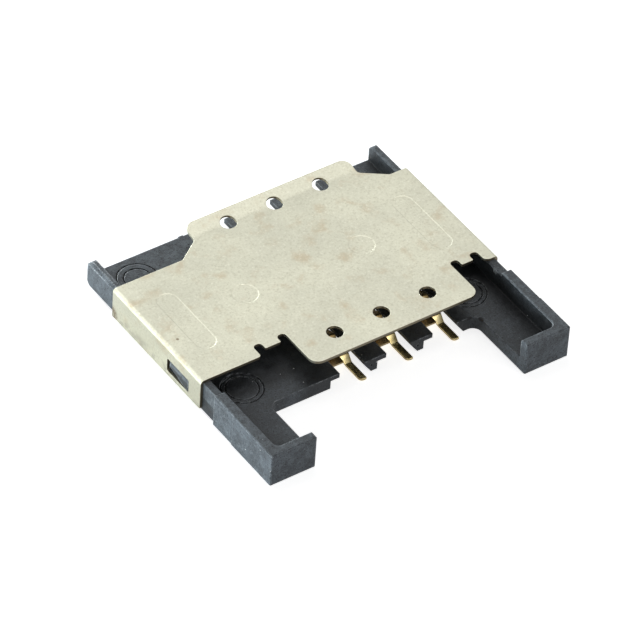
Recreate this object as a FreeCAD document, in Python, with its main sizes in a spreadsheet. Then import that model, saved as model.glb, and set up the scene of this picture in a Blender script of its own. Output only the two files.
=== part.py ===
import FreeCAD, Part
import Sketcher
import os
import re

os.makedirs("parts", exist_ok=True)
doc = FreeCAD.newDocument("sim_card_socket")

# Driving sizes, in millimetres and degrees.
SIZES = [
    ("card_width", 15.0, "width of the card that slides in"),
    ("card_clearance", 0.1, "card to side walls, both sides together"),
    ("card_room", 0.9, "floor to the cover's underside"),
    ("wall", 0.4, "thickness of the housing's side walls"),
    ("sheet", 0.15, "thickness of the cover's sheet"),
    ("row_from_front", 5.21, "arms' front face to the front row of contacts"),
    ("row_pitch", 8.56, "front row of contacts to the back row"),
    ("row_to_back", 1.28, "back row to the floor's back edge"),
    ("contact_offset", 1.37, "middle contact column from the socket's middle"),
    ("pitch", 2.54, "contact column to contact column"),
    ("stop_reach", 1.87, "how far the arms and their stop walls reach inwards"),
    ("stop_thickness", 0.45, "front wall that stops the card"),
    ("arm_clearance", 1.04, "arms' thick part to the cover's front edge"),
    ("arm_step", 0.03, "second, smaller step of the arms' outer faces"),
    ("left_heel", 1.5, "length of the stepped part, left arm"),
    ("right_heel", 2.25, "length of the stepped part, right arm"),
    ("floor_lead", 1.46, "floor's front edge to the front row"),
    ("floor_corner_radius", 0.45, "inside corners between floor and arms"),
    ("pocket_corner_radius", 0.3, "inside corners behind the stop walls"),
    ("edge_break", 0.05, "chamfer on the outer edges of the arms"),
    ("wall_edge", 0.15, "chamfer on the walls' upper outer edges, under the cover"),
    ("lead_in", 0.08, "chamfer on the walls' upper inner edges"),
    ("wall_end_radius", 0.28, "rounded back ends of the walls"),
    ("relief_height", 0.22, "raised underside of the walls at the back"),
    ("relief_depth", 0.25, "width of that raised underside"),
    ("relief_length", 2.6, "length of that raised underside"),
    ("mark_from_wall", 1.45, "side wall to an ejector mark's middle"),
    ("mark_from_back", 1.35, "floor's back edge to the back marks' middle"),
    ("mark_radius", 1.0, "outer ring of an ejector mark"),
    ("front_mark_inner_radius", 0.79, "inner ring of the front marks"),
    ("back_mark_inner_radius", 0.68, "inner ring of the back marks"),
    ("mark_groove", 0.06, "width and depth of a ring"),
    ("gate_from_wall", 4.55, "left wall to the moulding gate's stub"),
    ("gate_width", 0.25, "width of the stub"),
    ("gate_height", 0.3, "height of the stub"),
    ("gate_length", 0.06, "how far the stub stands out"),
    ("channel_play", 0.05, "contact's frame to the open side of its channel"),
    ("rail_side", 1.14, "column line to the rib beside the contact's rail"),
    ("rail_bite", 0.1, "depth that the rail sits in the plastic"),
    ("rail_cover", 0.25, "thickness of the floor over a contact's rail"),
    ("rib_foot", 0.33, "width of a rib where it stands on the board"),
    ("rib_taper_rise", 0.1, "rail's top to where a rib's slanted side starts"),
    ("rib_pit", 0.11, "core pin mark in a rib's front face"),
    ("strip", 0.1, "thickness of the contacts' strip"),
    ("base_height", 0.35, "board to the underside of a contact's base"),
    ("ear_reach", 0.69, "row line to the front edge of the contact's ear"),
    ("bar_front", 0.3, "row line to where the tail bends down"),
    ("bar_inner", 0.1, "row line to the frame's window"),
    ("bend_foot", 0.6, "row line to where the tail lies on the board"),
    ("tail_reach", 1.8, "row line to the tail's tip"),
    ("tail_left", 0.26, "column line to the tail's near side"),
    ("neck_left", 0.1, "column line to the near side of the tail's neck"),
    ("rail_right", 0.62, "column line to the frame's far side and the tail's far side"),
    ("rail_inner", 0.5, "column line to the window's near side"),
    ("window_right", 0.42, "column line to the window's far side"),
    ("tail_tip_radius", 0.2, "rounded corner of the tail's tip"),
    ("strip_bend", 0.06, "inside radius of the tail's lower bend"),
    ("spring_root", 3.0, "row line to where the spring leaves the frame"),
    ("root_clearance", 0.05, "spring's root to the channel's closed end"),
    ("grip_length", 0.4, "length of the frame's end that the plastic grips"),
    ("crown_from_row", 0.25, "row line to the spring's crown"),
    ("crown_room", 0.25, "cover's underside to the crown's corner, with no card in"),
    ("crown_radius", 0.25, "inside radius of the crown"),
    ("tip_length", 0.36, "crown to the spring's free end"),
    ("tip_angle", 50.0, "slope of that end"),
    ("spring_root_width", 0.64, "spring at its root"),
    ("spring_tip_width", 0.44, "spring from its crown on"),
    ("cover_setback", 0.38, "front row to the cover's front edge"),
    ("cover_side_bottom", 0.1, "board to the lower edge of the cover's sides"),
    ("bend_radius", 0.05, "inside radius of the cover's side bends"),
    ("tongue_lead", 1.29, "tongue's front edge to the front row"),
    ("tongue_radius", 0.5, "front corners of the tongue"),
    ("slot_margin", 0.15, "pocket's side to the right outer slot"),
    ("slot_width", 0.44, "relief slots beside the tabs"),
    ("slot_depth", 0.75, "cover's front edge to the slots' ends"),
    ("slot_flat", 0.03, "flat beside each rounded corner of a slot's end"),
    ("tab_setback", 0.33, "cover's front edge to the small tabs' edge"),
    ("left_tab_width", 0.83, "tab left of the tongue"),
    ("right_tab_width", 0.63, "tab right of the tongue"),
    ("left_corner_radius", 0.15, "front edge into the left outer slot"),
    ("right_corner_radius", 0.3, "front edge into the right outer slot"),
    ("shoulder_width", 1.2, "slanted shoulder beside the lip, across"),
    ("shoulder_length", 0.85, "slanted shoulder beside the lip, along"),
    ("shoulder_gap", 0.17, "shoulder to the lip's bend line"),
    ("shoulder_radius", 0.25, "rounded ends of the shoulder"),
    ("lip_bend_lead", 0.02, "lip's bend line to the back row"),
    ("lip_length", 0.8, "bend line to the lip's edge"),
    ("lip_angle", 15.0, "rise of the lip that leads the card in"),
    ("lip_radius", 0.5, "corners of the lip"),
    ("hole_diameter", 0.79, "holes over the contact crowns"),
    ("window_setback", 0.93, "cover's front edge to the side windows"),
    ("window_length", 1.72, "side windows, along"),
    ("window_bottom", 0.35, "board to the side windows"),
    ("window_height", 0.71, "side windows, upright"),
    ("window_radius", 0.08, "corners of the windows"),
    ("snap_height", 0.11, "how far a snap stands out of its wall"),
    ("snap_play", 0.08, "snap to window, in front and on top"),
    ("snap_back_play", 0.16, "snap to window, at its thin end"),
    ("snap_toe", 0.32, "window's front end to the snap's lowest corner"),
    ("snap_point", 0.37, "window's top to the underside of the snap's thin end"),
    ("snap_recess", 0.2, "depth of the recess around a snap"),
    ("dimple_setback", 3.81, "cover's front edge to the round dimples"),
    ("dimple_spacing", 6.38, "left to right round dimple"),
    ("dimple_diameter", 1.3, "round dimples"),
    ("rib_setback", 1.61, "cover's front edge to the long pressed ribs"),
    ("rib_end_setback", 1.43, "long pressed ribs to the cover's back edge"),
    ("rib_width", 1.1, "long pressed ribs, across"),
    ("rib_from_wall", 1.1, "pocket's side to a pressed rib's middle"),
    ("press_depth", 0.06, "depth of dimples and pressed ribs"),
    ("press_edge", 0.04, "chamfered rim of dimples and pressed ribs"),
]

sheet = doc.addObject("Spreadsheet::Sheet", "Sizes")
for row, (alias, value, meaning) in enumerate(SIZES, start=1):
    sheet.set(f"A{row}", alias)
    sheet.set(f"B{row}", str(value))
    sheet.set(f"C{row}", meaning)
    sheet.setAlias(f"B{row}", alias)
doc.recompute()

# Places worked out from the driving sizes. Each name can be used in the next ones.
PLACES = {
    "wall_inside": "(card_width + card_clearance) / 2",
    "wall_outside": "wall_inside + wall",
    "half_width": "wall_outside + sheet",
    "base_top": "base_height + strip",
    "floor_height": "base_top + rail_cover",
    "wall_top": "floor_height + card_room",
    "cover_top": "wall_top + sheet",
    # The origin lies on the board, in the middle of the whole socket with its solder tails.
    "front": "-(row_from_front + row_pitch + tail_reach) / 2",
    "front_row": "front + row_from_front",
    "back_row": "front_row + row_pitch",
    "back": "back_row + row_to_back",
    "arm_inside": "wall_inside - stop_reach",
    "arm_outside": "half_width - arm_step",
    "stop_face": "front + stop_thickness",
    "floor_front": "front_row - floor_lead",
    "cover_front": "front_row + cover_setback",
    "arm_back": "cover_front - arm_clearance",
    "left_foot": "arm_back - left_heel",
    "right_foot": "arm_back - right_heel",
    "mark_side": "wall_inside - mark_from_wall",
    "channel_side": "rail_right + channel_play",
    "channel_reach": "spring_root + root_clearance",
    "frame_end": "channel_reach + grip_length",
    "rib_side": "pitch - rail_side - rib_foot",
    "crown_height": "wall_top - crown_room",
    "rise": "atan((crown_height - base_top) / (spring_root - crown_from_row))",
    "fall": "tip_angle * 1 deg",
    "dip": "atan(base_height / (bend_foot - bar_front))",
    "tip_y": "crown_from_row - tip_length * cos(fall)",
    "tip_z": "crown_height - tip_length * sin(fall)",
    # The spring's underside at its crown.
    "hollow_y": "crown_from_row - strip * (sin(rise) - sin(fall)) / (1 + cos(rise + fall))",
    "hollow_z": "crown_height - strip * (cos(rise) + cos(fall)) / (1 + cos(rise + fall))",
    # The underside of the tail's two bends.
    "dip_start": "strip * tan(dip / 2) - bar_front",
    "dip_end": "strip * tan(dip / 2) - bend_foot",
    "bend_outside": "bend_radius + sheet",
    "right_outer_slot": "wall_inside - slot_margin",
    "right_tab": "right_outer_slot - slot_width",
    "right_slot": "right_tab - right_tab_width",
    "tongue_right": "right_slot - slot_width",
    "tongue_left": "2 * contact_offset - tongue_right",
    "left_slot": "tongue_left - slot_width",
    "left_tab": "left_slot - left_tab_width",
    "left_outer_slot": "left_tab - slot_width",
    "slot_radius": "slot_width / 2 - slot_flat",
    "tongue_front": "front_row - tongue_lead",
    "tab_front": "cover_front + tab_setback",
    "slot_end": "cover_front + slot_depth",
    "lip_bend": "back_row - lip_bend_lead",
    "shoulder_end": "lip_bend - shoulder_gap",
    "cover_back": "shoulder_end - shoulder_length",
    "lip_back": "lip_bend + lip_length * cos(lip_angle * 1 deg)",
    "lip_top": "cover_top + lip_length * sin(lip_angle * 1 deg)",
    "window_front": "cover_front + window_setback",
    "window_back": "window_front + window_length",
    "window_top": "window_bottom + window_height",
    "dimple_y": "cover_front + dimple_setback",
    "rib_x": "wall_inside - rib_from_wall",
    "rib_front": "cover_front + rib_setback + rib_width / 2",
    "rib_back": "cover_back - rib_end_setback - rib_width / 2",
}
ALIASES = {alias for alias, value, meaning in SIZES}


def bound(text):
    """The same formula with every size as a cell of the sheet and every place written out."""
    def swap(match):
        word = match.group(0)
        if word in ALIASES:
            return "Sizes." + word
        if word in PLACES:
            return "(" + bound(PLACES[word]) + ")"
        return word
    return re.sub(r"[a-z][a-z_0-9]*", swap, text)


def number(text):
    """The formula's present value."""
    value = sheet.evalExpression(bound(text))
    return float(getattr(value, "Value", value))


def new_body(name):
    body = doc.addObject("PartDesign::Body", name)
    body.Label = name
    return body


def sketch_on(body, name, plane, at="0"):
    """A sketch parallel to an origin plane, where that plane's own axis reads at."""
    sketch = body.newObject("Sketcher::SketchObject", name)
    origin_plane = [item for item in body.Origin.OriginFeatures if item.Role == plane][0]
    sketch.AttachmentSupport = [(origin_plane, "")]
    sketch.MapMode = "FlatFace"
    sign = "-" if plane == "XZ_Plane" else ""
    sketch.setExpression("AttachmentOffset.Base.z", bound(f"{sign}({at})"))
    return sketch


def hold(sketch, kind, index, point, text):
    """Tie one coordinate or radius of the sketch to a formula."""
    if kind == "Radius":
        constraint = Sketcher.Constraint("Radius", index, number(text))
    else:
        constraint = Sketcher.Constraint(kind, -1, 1, index, point, number(text))
    position = sketch.addConstraint(constraint)
    sketch.setExpression(f"Constraints[{position}]", bound(text))


def polygon(sketch, corners):
    """A closed outline, each corner held by its two formulas."""
    points = [FreeCAD.Vector(number(x), number(y), 0) for x, y in corners]
    first = sketch.GeometryCount
    count = len(points)
    for index in range(count):
        sketch.addGeometry(Part.LineSegment(points[index], points[(index + 1) % count]), False)
    for index in range(count):
        following = first + (index + 1) % count
        sketch.addConstraint(Sketcher.Constraint("Coincident", first + index, 2, following, 1))
    for index, (x, y) in enumerate(corners):
        hold(sketch, "DistanceX", first + index, 1, x)
        hold(sketch, "DistanceY", first + index, 1, y)


def rectangle(sketch, left, right, low, high):
    polygon(sketch, [(left, low), (right, low), (right, high), (left, high)])


def circle(sketch, x, y, radius):
    middle = FreeCAD.Vector(number(x), number(y), 0)
    axis = FreeCAD.Vector(0, 0, 1)
    index = sketch.addGeometry(Part.Circle(middle, axis, number(radius)), False)
    hold(sketch, "Radius", index, 0, radius)
    hold(sketch, "DistanceX", index, 3, x)
    hold(sketch, "DistanceY", index, 3, y)


def pad(body, sketch, length, reverse=False):
    feature = body.newObject("PartDesign::Pad", sketch.Name + "_pad")
    feature.Profile = sketch
    feature.setExpression("Length", bound(length))
    feature.Reversed = reverse
    sketch.Visibility = False
    doc.recompute()
    return feature


def pocket(body, sketch, length=None, reverse=False):
    """Cut to a depth, or right through both ways where no length is given."""
    before = body.Shape.Volume
    feature = body.newObject("PartDesign::Pocket", sketch.Name + "_cut")
    feature.Profile = sketch
    if length is None:
        feature.Type = "ThroughAll"
        feature.SideType = "Symmetric"
    else:
        feature.setExpression("Length", bound(length))
        feature.Reversed = reverse
    sketch.Visibility = False
    doc.recompute()
    if body.Shape.Volume >= before:
        raise RuntimeError(f"{sketch.Name} cuts nothing")
    return feature


def dress(body, kind, name, size, wanted):
    """A fillet or chamfer on every edge that wanted picks."""
    base = body.Tip
    names = [f"Edge{index}" for index, edge in enumerate(base.Shape.Edges, start=1)
             if wanted(edge)]
    if not names:
        raise RuntimeError(f"{name} finds no edge")
    feature = body.newObject(kind, name)
    feature.Base = (base, names)
    feature.setExpression("Radius" if kind.endswith("Fillet") else "Size", bound(size))
    doc.recompute()
    return feature


FILLET = "PartDesign::Fillet"
CHAMFER = "PartDesign::Chamfer"


def close(value, text):
    return abs(value - number(text)) < 1e-4


def runs_along(edge, axis):
    """True for a straight edge parallel to X, Y or Z."""
    box = edge.BoundBox
    lengths = {"x": box.XLength, "y": box.YLength, "z": box.ZLength}
    long_side = lengths.pop(axis)
    return long_side > 1e-4 and max(lengths.values()) < 1e-5


def upright_at(edge, spots):
    """True for an upright edge that stands at one of the spots (x, y)."""
    if not runs_along(edge, "z"):
        return False
    middle = edge.BoundBox.Center
    return any(close(middle.x, x) and close(middle.y, y) for x, y in spots)


def mirrored(spots):
    return list(spots) + [(f"-({x})", y) for x, y in spots]


# Housing: one black moulding that holds everything.
housing = new_body("housing")

floor = sketch_on(housing, "floor", "XY_Plane")
polygon(floor, [
    ("-half_width", "front"), ("-arm_inside", "front"), ("-arm_inside", "floor_front"),
    ("arm_inside", "floor_front"), ("arm_inside", "front"), ("half_width", "front"),
    ("half_width", "right_foot"), ("arm_outside", "right_foot"),
    ("arm_outside", "arm_back"), ("wall_outside", "arm_back"), ("wall_outside", "back"),
    ("-wall_outside", "back"), ("-wall_outside", "arm_back"), ("-arm_outside", "arm_back"),
    ("-arm_outside", "left_foot"), ("-half_width", "left_foot"),
])
pad(housing, floor, "floor_height")

# The arms reach past the cover and end in the two walls that stop the card.
arms = sketch_on(housing, "arms", "XY_Plane", "floor_height")
for sign, foot in (("-", "left_foot"), ("", "right_foot")):
    polygon(arms, [
        (f"{sign}half_width", "front"), (f"{sign}arm_inside", "front"),
        (f"{sign}arm_inside", "stop_face"), (f"{sign}wall_inside", "stop_face"),
        (f"{sign}wall_inside", "arm_back"), (f"{sign}arm_outside", "arm_back"),
        (f"{sign}arm_outside", foot), (f"{sign}half_width", foot),
    ])
pad(housing, arms, "card_room + sheet")

walls = sketch_on(housing, "walls", "XY_Plane", "floor_height")
for sign in ("-", ""):
    rectangle(walls, f"{sign}wall_inside", f"{sign}wall_outside", "arm_back", "back")
pad(housing, walls, "card_room")

gate = sketch_on(housing, "gate", "XZ_Plane", "back + gate_length")
rectangle(gate, "gate_from_wall - wall_inside", "gate_from_wall + gate_width - wall_inside",
          "floor_height - gate_height", "floor_height")
pad(housing, gate, "gate_length")

dress(housing, FILLET, "floor_corners", "floor_corner_radius",
      lambda edge: upright_at(edge, mirrored([("arm_inside", "floor_front")])))
dress(housing, FILLET, "pocket_corners", "pocket_corner_radius",
      lambda edge: upright_at(edge, mirrored([("wall_inside", "stop_face")])))


def arm_rim(edge):
    box = edge.BoundBox
    if close(box.ZMin, "cover_top") and close(box.ZMax, "cover_top"):
        return True
    spots = mirrored([("half_width", "front"), ("arm_inside", "front")])
    return upright_at(edge, spots)


dress(housing, CHAMFER, "arm_edges", "edge_break", arm_rim)


def wall_inner_edge(edge):
    box = edge.BoundBox
    on_top = close(box.ZMin, "wall_top") and close(box.ZMax, "wall_top")
    return runs_along(edge, "y") and on_top and close(abs(box.Center.x), "wall_inside")


dress(housing, CHAMFER, "wall_inner_edges", "lead_in", wall_inner_edge)

bevels = sketch_on(housing, "bevels", "XZ_Plane", "back")
for sign in ("-", ""):
    polygon(bevels, [
        (f"{sign}wall_outside", "wall_top - wall_edge"), (f"{sign}wall_outside", "wall_top"),
        (f"{sign}(wall_outside - wall_edge)", "wall_top"),
    ])
pocket(housing, bevels, "back - cover_front", reverse=True)

relief = sketch_on(housing, "relief", "XZ_Plane", "back")
for sign in ("-", ""):
    rectangle(relief, f"{sign}(wall_outside - relief_depth)", f"{sign}wall_outside",
              "0", "relief_height")
pocket(housing, relief, "relief_length", reverse=True)


def wall_end(edge):
    box = edge.BoundBox
    if not (runs_along(edge, "x") and close(box.Center.y, "back")):
        return False
    low = close(box.Center.z, "relief_height")
    return close(box.Center.z, "wall_top") or (low and abs(box.Center.x) > number("arm_inside"))


dress(housing, FILLET, "wall_ends", "wall_end_radius", wall_end)

# Six channels let the springs move: a lip over each contact's rail, open on the other side.
CHANNEL = [
    ("-rail_side", "0"), ("-rail_side", "base_top"), ("-channel_side", "base_top"),
    ("-channel_side", "floor_height"), ("channel_side", "floor_height"),
    ("channel_side", "base_top + rib_taper_rise"), ("rib_side", "0"),
]
COLUMNS = [f"contact_offset + ({step}) * pitch" for step in (-1, 0, 1)]

front_channels = sketch_on(housing, "front_channels", "XZ_Plane", "floor_front")
back_channels = sketch_on(housing, "back_channels", "XZ_Plane", "back")
for column in COLUMNS:
    polygon(front_channels, [(f"{column} + ({x})", z) for x, z in CHANNEL])
    polygon(back_channels, [(f"{column} - ({x})", z) for x, z in CHANNEL])
pocket(housing, front_channels, "front_row + channel_reach - floor_front")
pocket(housing, back_channels, "back - back_row + channel_reach", reverse=True)

# The plastic grips each contact's frame at its rail and its inner end.
grips = sketch_on(housing, "grips", "XY_Plane", "base_top")
for column in COLUMNS:
    rectangle(grips, f"{column} - rail_side - rail_bite", f"{column} + rail_right",
              "front_row - ear_reach", "front_row + frame_end")
    rectangle(grips, f"{column} + rail_side + rail_bite", f"{column} - rail_right",
              "back_row + ear_reach", "back_row - frame_end")
pocket(housing, grips, "strip")

# A recess around each snap, and the wedge-shaped snap that the cover's window hooks on.
for sign, name in (("-", "left"), ("", "right")):
    is_left = name == "left"
    recess = sketch_on(housing, name + "_recess", "YZ_Plane", f"{sign}wall_outside")
    rectangle(recess, "window_front", "window_back", "window_bottom", "window_top")
    pocket(housing, recess, "snap_recess", reverse=is_left)
    start = "-(wall_outside + snap_height)" if is_left else "wall_outside - snap_recess"
    snap = sketch_on(housing, name + "_snap", "YZ_Plane", start)
    polygon(snap, [
        ("window_front + snap_play", "window_bottom"),
        ("window_front + snap_play", "window_top - snap_play"),
        ("window_back - snap_back_play", "window_top - snap_play"),
        ("window_back - snap_back_play", "window_top - snap_point"),
        ("window_front + snap_toe", "window_bottom"),
    ])
    pad(housing, snap, "snap_recess + snap_height")

# Ring marks that the ejector pins leave in the floor, and two core pin marks in front.
marks = sketch_on(housing, "marks", "XY_Plane", "floor_height")
for x in ("-mark_side", "mark_side"):
    for y, inner in (("front_row", "front_mark_inner_radius"),
                     ("back - mark_from_back", "back_mark_inner_radius")):
        for radius in ("mark_radius", inner):
            circle(marks, x, y, radius)
            circle(marks, x, y, f"{radius} - mark_groove")
pocket(housing, marks, "mark_groove")

pits = sketch_on(housing, "pits", "XZ_Plane", "floor_front")
for column in COLUMNS[:2]:
    circle(pits, f"{column} + pitch - rail_side - rib_foot", "base_height", "rib_pit / 2")
pocket(housing, pits, "rib_pit")


# Contact: one gold-plated strip, cut and folded. The row line is its own X axis, and the
# socket's middle lies on its +Y side. All six are the same piece, the back row turned round.
def make_contact(name):
    body = new_body(name)

    frame = sketch_on(body, name + "_frame", "XY_Plane", "base_height")
    polygon(frame, [
        ("-rail_side - rail_bite", "-ear_reach"), ("neck_left", "-ear_reach"),
        ("neck_left", "-bar_front"), ("rail_right", "-bar_front"),
        ("rail_right", "frame_end"), ("-rail_side - rail_bite", "frame_end"),
    ])
    rectangle(frame, "-rail_inner", "window_right", "-bar_inner", "spring_root")
    pad(body, frame, "strip")

    # The tail dips from the frame to the board in one slanted bend.
    tail = sketch_on(body, name + "_tail", "YZ_Plane", "neck_left")
    polygon(tail, [
        ("-bar_front", "base_top"), ("-bend_foot", "strip"), ("-tail_reach", "strip"),
        ("-tail_reach", "0"), ("dip_end", "0"), ("dip_start", "base_height"),
        ("-bar_inner", "base_height"), ("-bar_inner", "base_top"),
    ])
    pad(body, tail, "rail_right - neck_left")

    trim = sketch_on(body, name + "_trim", "XY_Plane")
    polygon(trim, [
        ("neck_left", "-bar_front"), ("tail_left", "-bend_foot"),
        ("tail_left", "-tail_reach"), ("neck_left", "-tail_reach"),
    ])
    pocket(body, trim)
    dress(body, FILLET, name + "_tip_corner", "tail_tip_radius",
          lambda edge: upright_at(edge, [("tail_left", "-tail_reach")]))

    # The spring rises from the frame's inner end to its crown and turns down again.
    spring = sketch_on(body, name + "_spring", "YZ_Plane", "-spring_root_width / 2")
    polygon(spring, [
        ("frame_end", "base_top"), ("spring_root", "base_top"),
        ("crown_from_row", "crown_height"), ("tip_y", "tip_z"),
        ("tip_y + strip * sin(fall)", "tip_z - strip * cos(fall)"),
        ("hollow_y", "hollow_z"),
        ("spring_root - strip * tan(rise / 2)", "base_height"), ("frame_end", "base_height"),
    ])
    pad(body, spring, "spring_root_width")

    taper = sketch_on(body, name + "_taper", "XY_Plane", "base_top")
    for sign in ("-", ""):
        polygon(taper, [
            (f"{sign}spring_root_width / 2", "spring_root"),
            (f"{sign}spring_tip_width / 2", "crown_from_row"),
            (f"{sign}spring_tip_width / 2", "-bar_inner"),
            (f"{sign}spring_root_width / 2", "-bar_inner"),
        ])
    pocket(body, taper, "crown_height", reverse=True)

    for part_name, y, z, radius in (
            ("_crown", "crown_from_row", "crown_height", "crown_radius + strip"),
            ("_hollow", "hollow_y", "hollow_z", "crown_radius"),
            ("_foot", "dip_end", "0", "strip_bend + strip"),
            ("_foot_hollow", "-bend_foot", "strip", "strip_bend")):
        dress(body, FILLET, name + part_name, radius,
              lambda edge: runs_along(edge, "x") and close(edge.BoundBox.Center.y, y)
              and close(edge.BoundBox.Center.z, z))
    return body


CONTACTS = [
    ("contact_c1", COLUMNS[0], "front_row", 0), ("contact_c2", COLUMNS[1], "front_row", 0),
    ("contact_c3", COLUMNS[2], "front_row", 0), ("contact_c5", COLUMNS[0], "back_row", 180),
    ("contact_c6", COLUMNS[1], "back_row", 180), ("contact_c7", COLUMNS[2], "back_row", 180),
]
contacts = []
for contact_name, column, contact_row, turn in CONTACTS:
    contact = make_contact(contact_name)
    contact.Placement.Rotation = FreeCAD.Rotation(FreeCAD.Vector(0, 0, 1), turn)
    contact.setExpression(".Placement.Base.x", bound(column))
    contact.setExpression(".Placement.Base.y", bound(contact_row))
    contacts.append(contact)

# Cover: one folded sheet over the card, with a tongue in front and a raised lip behind.
cover = new_body("cover")

section = sketch_on(cover, "section", "XZ_Plane", "lip_bend")
polygon(section, [
    ("-half_width", "cover_side_bottom"), ("-half_width", "cover_top"),
    ("half_width", "cover_top"), ("half_width", "cover_side_bottom"),
    ("wall_outside", "cover_side_bottom"), ("wall_outside", "wall_top"),
    ("-wall_outside", "wall_top"), ("-wall_outside", "cover_side_bottom"),
])
pad(cover, section, "lip_bend - tongue_front")


def side_bend(edge):
    box = edge.BoundBox
    outer = close(abs(box.Center.x), "half_width") and close(box.Center.z, "cover_top")
    return runs_along(edge, "y") and outer


def side_bend_inside(edge):
    box = edge.BoundBox
    inner = close(abs(box.Center.x), "wall_outside") and close(box.Center.z, "wall_top")
    return runs_along(edge, "y") and inner


dress(cover, FILLET, "outer_bends", "bend_outside", side_bend)
dress(cover, FILLET, "inner_bends", "bend_radius", side_bend_inside)

# All that stands outside the blank's outline is cut away from above.
blank = sketch_on(cover, "blank", "XY_Plane")
rectangle(blank, "-2 * half_width", "2 * half_width",
          "tongue_front - half_width", "lip_bend + half_width")
polygon(blank, [
    ("-half_width - sheet", "cover_back"), ("tongue_left - shoulder_width", "cover_back"),
    ("tongue_left", "shoulder_end"), ("tongue_left", "lip_bend + sheet"),
    ("tongue_right", "lip_bend + sheet"), ("tongue_right", "shoulder_end"),
    ("tongue_right + shoulder_width", "cover_back"), ("half_width + sheet", "cover_back"),
    ("half_width + sheet", "cover_front"), ("right_outer_slot", "cover_front"),
    ("right_outer_slot", "slot_end"), ("right_tab", "slot_end"), ("right_tab", "tab_front"),
    ("right_slot", "tab_front"), ("right_slot", "slot_end"), ("tongue_right", "slot_end"),
    ("tongue_right", "tongue_front - sheet"), ("tongue_left", "tongue_front - sheet"),
    ("tongue_left", "slot_end"), ("left_slot", "slot_end"), ("left_slot", "tab_front"),
    ("left_tab", "tab_front"), ("left_tab", "slot_end"), ("left_outer_slot", "slot_end"),
    ("left_outer_slot", "cover_front"), ("-half_width - sheet", "cover_front"),
])
pocket(cover, blank)

lip = sketch_on(cover, "lip", "YZ_Plane", "tongue_left")
polygon(lip, [
    ("lip_bend", "wall_top"), ("lip_bend", "cover_top"), ("lip_back", "lip_top"),
    ("lip_back + sheet * sin(lip_angle * 1 deg)", "lip_top - sheet * cos(lip_angle * 1 deg)"),
    ("lip_bend + sheet * tan(lip_angle * 0.5 deg)", "wall_top"),
])
pad(cover, lip, "tongue_right - tongue_left")


def lip_corner(edge):
    box = edge.BoundBox
    at_side = close(box.Center.x, "tongue_left") or close(box.Center.x, "tongue_right")
    return at_side and box.XLength < 1e-5 and box.YMin > number("lip_back") - 1e-4


dress(cover, FILLET, "lip_corners", "lip_radius", lip_corner)

slot_corners = [(x, "slot_end") for x in (
    "tongue_left", "left_slot", "left_tab", "left_outer_slot",
    "tongue_right", "right_slot", "right_tab", "right_outer_slot")]
dress(cover, FILLET, "slot_ends", "slot_radius", lambda edge: upright_at(edge, slot_corners))
dress(cover, FILLET, "tongue_corners", "tongue_radius", lambda edge: upright_at(
    edge, [("tongue_left", "tongue_front"), ("tongue_right", "tongue_front")]))
dress(cover, FILLET, "left_front_corner", "left_corner_radius",
      lambda edge: upright_at(edge, [("left_outer_slot", "cover_front")]))
dress(cover, FILLET, "right_front_corner", "right_corner_radius",
      lambda edge: upright_at(edge, [("right_outer_slot", "cover_front")]))
dress(cover, FILLET, "shoulders", "shoulder_radius", lambda edge: upright_at(edge, [
    ("tongue_left", "shoulder_end"), ("tongue_right", "shoulder_end"),
    ("tongue_left - shoulder_width", "cover_back"),
    ("tongue_right + shoulder_width", "cover_back")]))

holes = sketch_on(cover, "holes", "XY_Plane")
for column in COLUMNS:
    circle(holes, column, "front_row", "hole_diameter / 2")
    circle(holes, column, "back_row", "hole_diameter / 2")
pocket(cover, holes)

windows = sketch_on(cover, "windows", "YZ_Plane")
rectangle(windows, "window_front", "window_back", "window_bottom", "window_top")
pocket(cover, windows)


def window_corner(edge):
    box = edge.BoundBox
    at_end = close(box.Center.y, "window_front") or close(box.Center.y, "window_back")
    at_level = close(box.Center.z, "window_bottom") or close(box.Center.z, "window_top")
    return runs_along(edge, "x") and at_end and at_level


dress(cover, FILLET, "window_corners", "window_radius", window_corner)


# Two dimples and two long ribs are pressed down into the cover, each through its sheet.
def pressed(name, level, feature, **options):
    """The round parts and then the straight parts of everything that is pressed."""
    rounds = sketch_on(cover, name + "_rounds", "XY_Plane", level)
    bars = sketch_on(cover, name + "_bars", "XY_Plane", level)
    for sign in ("-", ""):
        circle(rounds, f"{sign}dimple_spacing / 2", "dimple_y", "dimple_diameter / 2")
        for y in ("rib_front", "rib_back"):
            circle(rounds, f"{sign}rib_x", y, "rib_width / 2")
        rectangle(bars, f"{sign}rib_x - rib_width / 2", f"{sign}rib_x + rib_width / 2",
                  "rib_front", "rib_back")
    feature(cover, rounds, "press_depth", **options)
    feature(cover, bars, "press_depth", **options)


pressed("hollow", "cover_top", pocket)
pressed("bulge", "wall_top", pad, reverse=True)


def pressed_rim(edge):
    box = edge.BoundBox
    middle = box.Center
    level = any(close(box.ZMin, z) and close(box.ZMax, z)
                for z in ("cover_top", "wall_top - press_depth"))
    inside = abs(middle.x) < number("half_width - bend_outside") - 1e-3
    return level and inside and number("slot_end") < middle.y < number("cover_back") - 1e-3


dress(cover, CHAMFER, "pressed_rims", "press_edge", pressed_rim)


# Every object has to be sound before anything is written.
doc.recompute()
for item in doc.Objects:
    if "Invalid" in item.State or "Error" in item.State:
        raise RuntimeError(f"{item.Name} failed: {item.State}")
for body in [housing, cover] + contacts:
    shape = body.Shape
    if shape.isNull() or not shape.isValid() or len(shape.Solids) != 1:
        raise RuntimeError(f"{body.Label} isn't one sound solid")
    shape.exportStep(f"parts/{body.Label}.step")
    print(body.Label, round(shape.Volume, 3), shape.BoundBox)
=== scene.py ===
import bmesh
import bpy
import math
from mathutils import Matrix, Vector


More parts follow.
